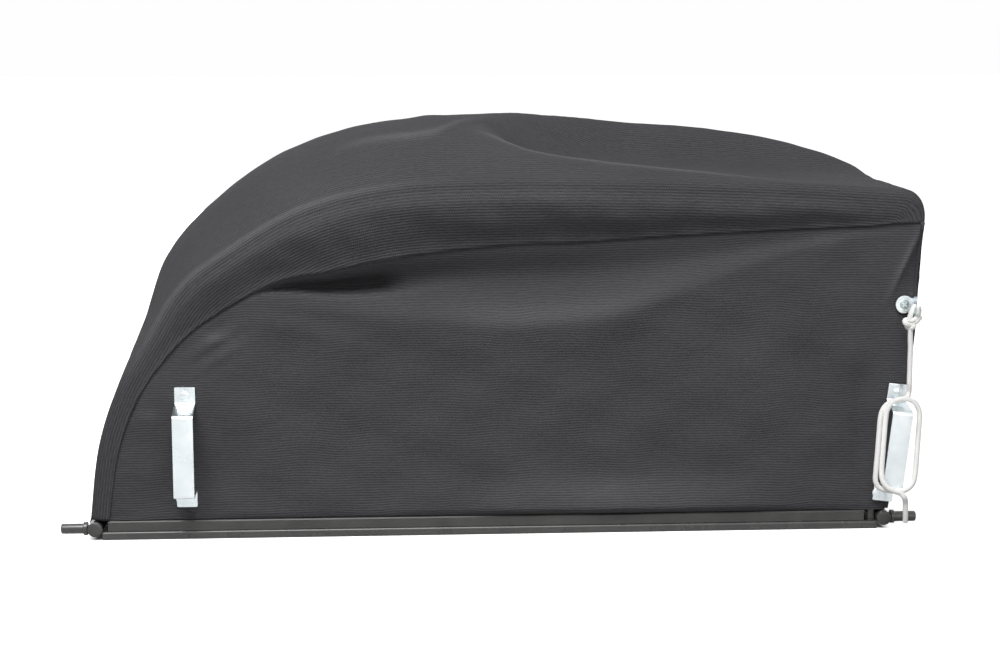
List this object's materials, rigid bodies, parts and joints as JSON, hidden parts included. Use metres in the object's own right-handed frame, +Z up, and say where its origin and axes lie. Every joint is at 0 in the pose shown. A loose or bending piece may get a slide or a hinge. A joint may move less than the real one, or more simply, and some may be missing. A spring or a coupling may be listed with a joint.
{
  "type": "mower grass bag",
  "caption": "Arched cloth grass bag on a steel mouth frame, with pivot pins, folded steel loops on one side and a pull cord on a lug.",
  "frame": {"origin": "centre of the mouth frame's footprint, in the plane that its rails stand on", "axes": "+X along the bag towards its square end, +Y away from the side with the loops and the cord, +Z up from the mouth"},
  "size_m": [0.825, 0.352, 0.3954],
  "materials": {
    "bag_cloth": "charcoal ribbed woven cloth",
    "frame_steel": "dark grey coated steel",
    "edge_plastic": "black plastic",
    "zinc": "bright zinc plated steel sheet",
    "cord": "off-white braided cord"
  },
  "bodies": {
    "root": {"front_rail": "frame_steel", "rear_rail": "frame_steel", "front_edge_clip": "edge_plastic", "rear_edge_clip": "edge_plastic", "left_end_tube": "frame_steel", "right_end_tube": "frame_steel", "left_front_tube_plug": "edge_plastic", "left_rear_tube_plug": "edge_plastic", "right_front_tube_plug": "edge_plastic", "right_rear_tube_plug": "edge_plastic", "left_edge_clip": "edge_plastic", "right_edge_clip": "edge_plastic", "left_pivot_pin": "frame_steel", "right_pivot_pin": "frame_steel", "front_hoop": "frame_steel", "rear_hoop": "frame_steel", "shoulder_bow": "frame_steel", "crown_bow": "frame_steel", "corner_rod": "frame_steel", "left_post": "frame_steel", "right_post": "frame_steel", "left_loop": "zinc", "right_loop": "zinc", "left_tab_rivet": "zinc", "left_foot_rivet": "zinc", "right_tab_rivet": "zinc", "right_foot_rivet": "zinc", "lug_rivet": "zinc", "cord_lug": "zinc", "front_panel": "bag_cloth", "rear_panel": "bag_cloth", "wrap_panel": "bag_cloth", "cord_knot": "cord", "cord_drop": "cord", "cord_hank": "cord", "cord_tail": "cord"}
  },
  "joints": []
}
